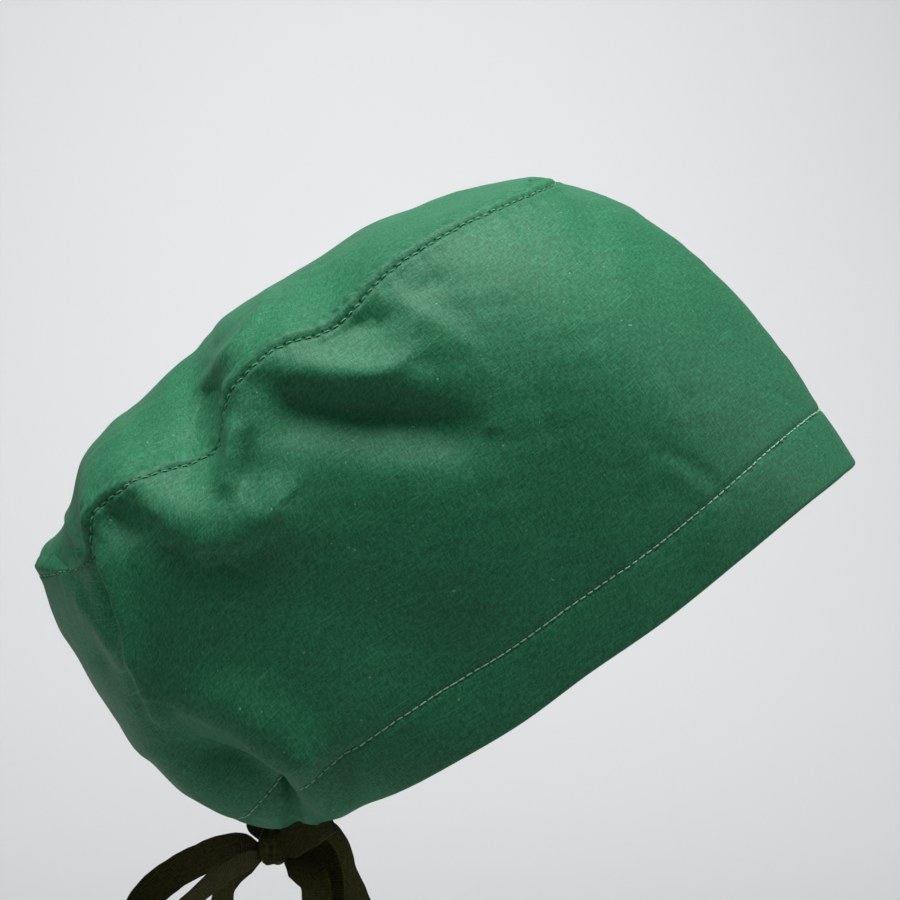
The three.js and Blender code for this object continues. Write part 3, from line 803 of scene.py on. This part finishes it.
def route_frames(route, rings, spread):
    """Centres at equal steps along a centripetal curve through the route, with tangents.

    The spread direction is carried along without twist.
    """
    route = np.array(route, float)
    points = np.concatenate([2 * route[:1] - route[1:2], route, 2 * route[-1:] - route[-2:-1]])
    gaps = np.linalg.norm(np.diff(points, axis=0), axis=1)[:, None] ** 0.5
    a, b, c, d = points[:-3], points[1:-2], points[2:-1], points[3:]
    first, span, last = gaps[:-2], gaps[1:-1], gaps[2:]
    leave = span * ((b - a) / first - (c - a) / (first + span) + (c - b) / span)
    arrive = span * ((c - b) / span - (d - b) / (span + last) + (d - c) / last)
    f = np.linspace(0, 1, 40, endpoint=False)[:, None, None]
    curve = b + f * (leave + f * (3 * (c - b) - 2 * leave - arrive + f * (leave + arrive - 2 * (c - b))))
    curve = np.concatenate([curve.transpose(1, 0, 2).reshape(-1, 3), route[-1:]])
    run = run_length(curve)
    where = np.linspace(0, run[-1], rings)
    centre = np.stack([np.interp(where, run, curve[:, k]) for k in range(3)], -1)
    tangent = unit(np.gradient(centre, axis=0))
    spreads = []
    spread = np.array(spread, float)
    for along in tangent:
        spread = unit(spread - (spread @ along) * along)
        spreads.append(spread)
    return centre, tangent, np.array(spreads), where


def make_ribbon(name, sizes, material, ends, start_spread, widen, seed):
    """A flat woven tape along a route, with a rounded section, rolled edges and a slow ripple."""
    centre, tangent, spread, run = route_frames(ROUTES[name], RIBBON_RINGS, start_spread)
    nearest = np.minimum(run, run[-1] - run) if ends == 2 else run
    half = sizes.tape_width / 2 * np.minimum(1, 0.6 + 0.4 * nearest / widen)
    thick = np.cross(tangent, spread)
    turn = np.linspace(0, 2 * math.pi, RIBBON_SIDES, endpoint=False)
    across = np.sign(np.cos(turn)) * np.abs(np.cos(turn)) ** 0.5
    depth = np.sign(np.sin(turn)) * np.abs(np.sin(turn)) ** 0.5
    free = smooth_step(0, 0.012, nearest)[:, None]
    ripple = 0.0004 * free * waver(run, (0.013, 0.022, 0.034), seed)[:, None] * across
    cup = 0.0005 * free * waver(run, (0.03, 0.05), seed + 1)[:, None] * (across**2 - 0.4)
    edge = half[:, None] * across * (1 + 0.02 * waver(run, (0.006, 0.011), seed + 2)[:, None])
    out = ripple + cup + sizes.tape_thick / 2 * depth * (1 + 0.25 * across**6)
    points = centre[:, None] + edge[..., None] * spread[:, None] + out[..., None] * thick[:, None]
    faces, row, column = grid_faces(RIBBON_RINGS, RIBBON_SIDES, close_columns=True)
    level = wrapped(edge)[row, column]
    ring = np.arange(RIBBON_SIDES)
    caps = np.stack([ring[::-1], ring + (RIBBON_RINGS - 1) * RIBBON_SIDES])
    flat = np.stack([np.broadcast_to(run[:, None], edge.shape), edge], -1).reshape(-1, 2)
    maps = {"Cloth": [np.stack([run[row], level], -1), flat[caps]]}
    piece = add_piece(name, points.reshape(-1, 3), [faces, caps], material, maps)
    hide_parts("tie_" + name)
    return piece, centre, run[-1]


def make_knot(material):
    """The knot: a rounded block with the folds of the tape that wraps it, closed at both poles."""
    rows, columns = 60, 96
    high = np.linspace(0, math.pi, rows + 2)[1:-1, None]
    turn = np.linspace(0, 2 * math.pi, columns, endpoint=False)[None]

    def corner(value):
        """The value drawn towards 1 and -1, which squares the block."""
        return np.sign(value) * np.abs(value) ** 0.6

    folds = 0.07 * np.abs(np.sin(2.5 * turn + 0.7 * np.cos(2 * high)))
    wrap = 1 + folds + 0.04 * np.sin(5 * high + 2 * turn) - 0.05
    x = corner(np.cos(turn)) * corner(np.sin(high)) * wrap
    y = corner(np.sin(turn)) * corner(np.sin(high)) * wrap
    z = corner(np.cos(high)) * wrap
    size = np.array(KNOT_SIZE) / 2
    points = np.stack([x, y, z], -1) * size + np.array(KNOT_CENTRE)
    poles = np.array(KNOT_CENTRE) + np.array([[0, 0, size[2]], [0, 0, -size[2]]])
    points = np.concatenate([points.reshape(-1, 3), poles])
    faces, row, column = grid_faces(rows, columns, close_columns=True)
    ring = np.arange(columns)
    following = (ring + 1) % columns
    count = rows * columns
    caps = np.concatenate([
        np.stack([np.full(columns, count), following, ring], -1),
        np.stack([np.full(columns, count + 1), ring + count - columns, following + count - columns], -1),
    ])
    flat = np.stack([row * size[2] * 2 / rows, column * 0.03 / columns], -1)
    maps = {"Cloth": [flat, np.zeros((*caps.shape, 2))]}
    piece = add_piece("knot", points, [faces, caps], material, maps)
    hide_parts("tie_knot")
    return piece


def length_setting(name, description, default):
    """A length in metres."""
    return bpy.props.FloatProperty(name=name, description=description, default=default, unit="LENGTH")


def color_setting(name, description, default):
    """A colour in linear red, green and blue."""
    return bpy.props.FloatVectorProperty(
        name=name, description=description, default=default, subtype="COLOR", size=3, min=0, max=1
    )


class CapSizes(bpy.types.PropertyGroup):
    """Sizes of the cap."""

    length: length_setting("Length", "Length that the cap's side view is drawn to", 0.292)
    height: length_setting("Height", "Height that the cap's side view is drawn to", 0.231)
    half_width: length_setting("Half width", "Half of the cap's greatest width", 0.082)
    cloth: length_setting("Cloth", "Thickness of the cloth at the seams", 0.0006)
    hem_depth: length_setting("Hem depth", "Height of the turned hem along the cloth", 0.0235)
    seam_width: length_setting("Seam width", "Distance of the stitches below the crown seam", 0.0028)
    seam_pitch: length_setting("Seam stitch pitch", "Step from stitch to stitch round the crown", 0.0034)
    hem_pitch: length_setting("Hem stitch pitch", "Step from stitch to stitch round the hem", 0.003)
    tape_width: length_setting("Tape width", "Width of the ribbon", 0.012)
    tape_thick: length_setting("Tape thickness", "Thickness of the ribbon", 0.0007)


class CapLook(bpy.types.PropertyGroup):
    """Colours of the cap and the stage."""

    # Cloth light and cloth shade are painted sheen on the raised threads and painted shade between them, mixed
    # with the cloth's random tone.
    light_color: color_setting("Cloth light", "Cloth colour on its raised threads", (0.034, 0.258, 0.119))
    shade_color: color_setting("Cloth shade", "Cloth colour between its threads", (0.007, 0.11, 0.046))
    tape_color: color_setting("Ribbon", "Colour of the ribbon's ribs", (0.07, 0.066, 0.016))
    floor_color: color_setting("Floor", "Colour of the pale floor", (0.72, 0.73, 0.74))


# Columns: name, watts, size, spread in degrees, place, aim
LIGHTS = (
    ("top", 11.5, 0.6, 180, (0, -0.2, 0.95), (-0.04, 0, 0.05)),
    ("front", 4.5, 0.7, 180, (1.2, -0.3, 0.55), (-0.04, 0, 0.05)),
    ("back", 4.5, 0.6, 180, (-1, -0.2, 0.85), (-0.04, 0, 0.05)),
    ("backdrop", 37, 2.5, 120, (0.3, 1.9, 2.2), (0.3, 3, 0.2)),
)


class CAP_OT_camera(bpy.types.Operator):
    """Set the camera at the photograph's angle."""

    bl_idname = "cap.camera"
    bl_label = "Camera"

    def execute(self, context):
        azimuth, elevation, distance = math.radians(-8), math.radians(4), 0.85
        target = Vector((-0.0429, 0, 0.0679))
        away = Vector((
            math.sin(azimuth) * math.cos(elevation),
            -math.cos(azimuth) * math.cos(elevation),
            math.sin(elevation),
        ))
        camera = bpy.data.cameras.new("camera")
        camera.lens = 95.2
        camera.sensor_width = 36
        camera.clip_start = 0.01
        eye = new_object("camera", camera)
        eye.location = target + distance * away
        eye.rotation_euler = (-away).to_track_quat("-Z", "Y").to_euler()
        context.scene.camera = eye
        return {"FINISHED"}


class CAP_OT_ribbon(bpy.types.Operator):
    """Make the knot, the two loops, the two tails and the two leads of the ribbon."""

    bl_idname = "cap.ribbon"
    bl_label = "Ribbon"

    def execute(self, context):
        sizes = context.scene.cap_sizes
        tape = ribbon_material(context.scene.cap_look)
        knot = make_knot(tape)
        for name, ends, spread, widen, seed in RIBBONS:
            make_ribbon(name, sizes, tape, ends, spread, widen, seed)
        return {"FINISHED"}


class CAP_OT_cloth(bpy.types.Operator):
    """Make the crown, the band and the hem."""

    bl_idname = "cap.cloth"
    bl_label = "Cloth"

    def execute(self, context):
        sizes = context.scene.cap_sizes
        shape = CapShape(sizes)
        cotton = cloth_material(context.scene.cap_look)
        crown = make_crown(shape, cotton)
        band, lines = make_band(shape, sizes, cotton)
        hem = make_hem(shape, cotton)
        green = thread_material("green thread", (0.14, 0.36, 0.2))
        mint = thread_material("pale mint thread", (0.36, 0.62, 0.46))
        seam = make_stitches(
            "seam_stitches", *lines["seam"], green, sizes.seam_pitch,
            length=0.0023, thick=0.0005, lift=0.00035,
        )
        pale = make_stitches(
            "hem_stitches", *lines["hem"], mint, sizes.hem_pitch,
            length=0.00275, thick=0.00055, lift=0.00025,
        )
        return {"FINISHED"}


class CAP_OT_stage(bpy.types.Operator):
    """Make the pale floor, its rising back and the soft lights."""

    bl_idname = "cap.stage"
    bl_label = "Stage"

    def execute(self, context):
        look = context.scene.cap_look
        graph = Graph("pale floor", Specular_IOR_Level=0.1)
        place = graph.node("ShaderNodeTexCoord", output="Object")
        grain = graph.noise(place, 3.0)
        tint = tuple(look.floor_color)
        color = graph.blend(grain, (*(0.985 * c for c in tint), 1), (*tint, 1))
        material = graph.finish(color, grain * 0.1 + 0.85, grain * 0.05, 0.1)
        turn = np.radians(np.linspace(0, 90, 33))
        depth = np.concatenate([[-4, -2, -1, 0, 1], 1.6 + 1.4 * np.sin(turn), [3.0, 3.0]])
        rise = np.concatenate([np.zeros(5), 1.4 - 1.4 * np.cos(turn), [2.4, 4.0]]) - 0.5
        wide = np.linspace(-4, 4, 17)[:, None]
        x, y = np.broadcast_arrays(wide, depth[None])
        z = np.broadcast_to(rise[None], x.shape)
        faces, _, _ = grid_faces(len(wide), len(depth))
        mesh = bpy.data.meshes.new("floor")
        mesh.from_pydata(np.stack([x, y, z], -1).reshape(-1, 3).tolist(), [], faces.tolist())
        mesh.polygons.foreach_set("use_smooth", np.ones(len(faces), dtype=bool))
        mesh.materials.append(material)
        new_object("floor", mesh)
        for name, energy, size, spread, place, aim in LIGHTS:
            light = bpy.data.lights.new(name, "AREA")
            light.energy = energy
            light.size = size
            light.spread = math.radians(spread)
            lamp = new_object(name, light)
            lamp.location = place
            lamp.rotation_euler = (Vector(place) - Vector(aim)).to_track_quat("Z", "Y").to_euler()
        world = bpy.data.worlds.new("studio")
        world.use_nodes = True
        background = world.node_tree.nodes["Background"]
        background.inputs["Color"].default_value = (0.95, 0.97, 1, 1)
        background.inputs["Strength"].default_value = 0.05
        context.scene.world = world
        context.scene.view_settings.view_transform = "Standard"
        return {"FINISHED"}


class CAP_PT_panel(bpy.types.Panel):
    """The cap's sizes, colours and makers in the sidebar."""

    bl_idname = "CAP_PT_panel"
    bl_label = "Scrub Cap"
    bl_space_type = "VIEW_3D"
    bl_region_type = "UI"
    bl_category = "Cap"

    def draw(self, context):
        for group in (context.scene.cap_sizes, context.scene.cap_look):
            for key in group.bl_rna.properties.keys():
                if key not in ("rna_type", "name"):
                    self.layout.prop(group, key)
        for operator in OPERATORS:
            self.layout.operator(operator.bl_idname)


OPERATORS = (CAP_OT_camera, CAP_OT_ribbon, CAP_OT_cloth, CAP_OT_stage)
CLASSES = (CapSizes, CapLook, *OPERATORS, CAP_PT_panel)


def register():
    """Registers the classes and adds the settings to the scene."""
    for cls in CLASSES:
        bpy.utils.register_class(cls)
    bpy.types.Scene.cap_sizes = bpy.props.PointerProperty(type=CapSizes)
    bpy.types.Scene.cap_look = bpy.props.PointerProperty(type=CapLook)


def unregister():
    """Removes the settings and the classes."""
    del bpy.types.Scene.cap_look
    del bpy.types.Scene.cap_sizes
    for cls in reversed(CLASSES):
        bpy.utils.unregister_class(cls)


def main():
    """Makes the cap and its stage."""
    register()
    bpy.ops.cap.camera()
    bpy.ops.cap.ribbon()
    bpy.ops.cap.cloth()
    bpy.ops.cap.stage()


if __name__ == "__main__":
    main()
